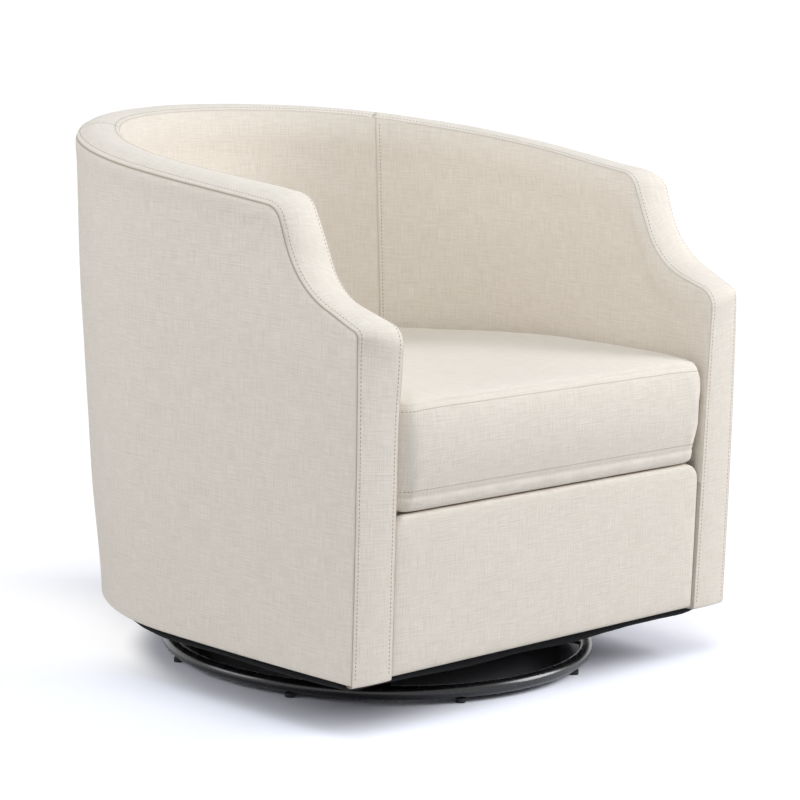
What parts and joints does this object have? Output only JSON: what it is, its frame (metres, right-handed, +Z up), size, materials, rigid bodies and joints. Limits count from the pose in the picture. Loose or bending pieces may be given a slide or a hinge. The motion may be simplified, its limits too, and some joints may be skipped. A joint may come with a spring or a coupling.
{
  "type": "swivel barrel chair",
  "caption": "Upholstered barrel armchair with scooped arms, a boxed seat cushion and a low round swivel base of black tube.",
  "frame": {"origin": "on the floor, at the middle of the chair's footprint box", "axes": "+Z up, the front of the seat faces -Y, +X to the right as seen from the front"},
  "size_m": [0.774, 0.7729, 0.7218],
  "materials": {
    "linen": "plain woven slub linen look",
    "deck_cloth": "plain woven platform cloth",
    "dust_cloth": "thin black non-woven",
    "foam": "open cell foam",
    "zip_tape": "woven tape with a coil zip",
    "black_steel": "gloss black powder coat",
    "black_plastic": "moulded, satin",
    "nylon": "natural nylon",
    "zinc_steel": "zinc plated",
    "spring_steel": "oiled spring wire",
    "plywood": "raw birch plywood",
    "softwood": "raw pine"
  },
  "bodies": {
    "base": {"base_ring": "black_steel", "floor_glides": "black_plastic", "spokes": "black_steel", "lower_race": "black_steel", "slide_ring": "nylon"},
    "chair": {"swivel_plate": "black_steel", "king_pin": "zinc_steel", "pin_washer": "zinc_steel", "plate_bolts": "zinc_steel", "tee_nuts": "zinc_steel", "base_board": "plywood", "dust_cover": "dust_cloth", "side_board_left": "plywood", "side_board_right": "plywood", "top_rail": "plywood", "back_posts": "softwood", "seat_rail": "softwood", "front_board": "softwood", "front_rail": "softwood", "springs": "spring_steel", "spring_clips": "zinc_steel", "deck_pad": "deck_cloth", "front_panel": "linen", "outside_back": "linen", "outside_left": "linen", "outside_right": "linen", "inside_back": "linen", "inside_left": "linen", "inside_right": "linen", "border_back": "linen", "border_left": "linen", "border_right": "linen"},
    "cushion": {"cushion_cover": "linen", "cushion_core": "foam", "cushion_zip": "zip_tape"}
  },
  "joints": [
    {"name": "swivel", "type": "hinge", "parent": "base", "child": "chair", "pos_m": [0, -0.0645, 0], "axis": [0, 0, 1], "continuous": true},
    {"name": "cushion_lift", "type": "slide", "parent": "chair", "child": "cushion", "axis": [0, 0, 1], "range_m": [0, 0.45]}
  ]
}
